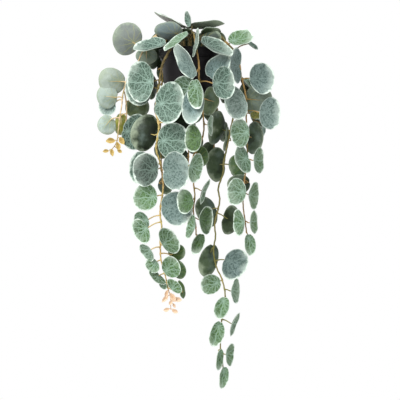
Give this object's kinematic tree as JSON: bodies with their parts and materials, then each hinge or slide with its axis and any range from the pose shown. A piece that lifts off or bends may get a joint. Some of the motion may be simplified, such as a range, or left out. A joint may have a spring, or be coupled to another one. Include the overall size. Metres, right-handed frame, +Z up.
{
  "type": "potted saxifrage",
  "caption": "Trailing saxifrage in a small black pot: leafy stems arch over the rim and hang far below it.",
  "frame": {"origin": "on the pot's axis, in the plane of the rim's underside, where a hanging ring carries the pot", "axes": "+Z up along the pot's axis, +X to the right and -Y towards the viewer as in the picture"},
  "size_m": [0.2651, 0.1703, 0.5474],
  "materials": {
    "pot": "satin black moulded plastic",
    "soil": "rough dark bark and soil",
    "foliage": "matte grey-green leaves with pale veins and margins on tan stems",
    "young_golden": "matte golden young leaves",
    "young_peach": "matte peach young leaves"
  },
  "bodies": {
    "root": {"pot": "pot", "soil": "soil", "left_stem": "foliage", "front_left_stem": "foliage", "front_stem": "foliage", "right_stem": "foliage", "front_right_stem": "foliage", "back_left_stem": "foliage", "back_stem": "foliage", "back_right_stem": "foliage", "far_right_stem": "foliage", "young_leaves_left": "young_golden", "young_leaves_low": "young_peach"}
  },
  "joints": []
}
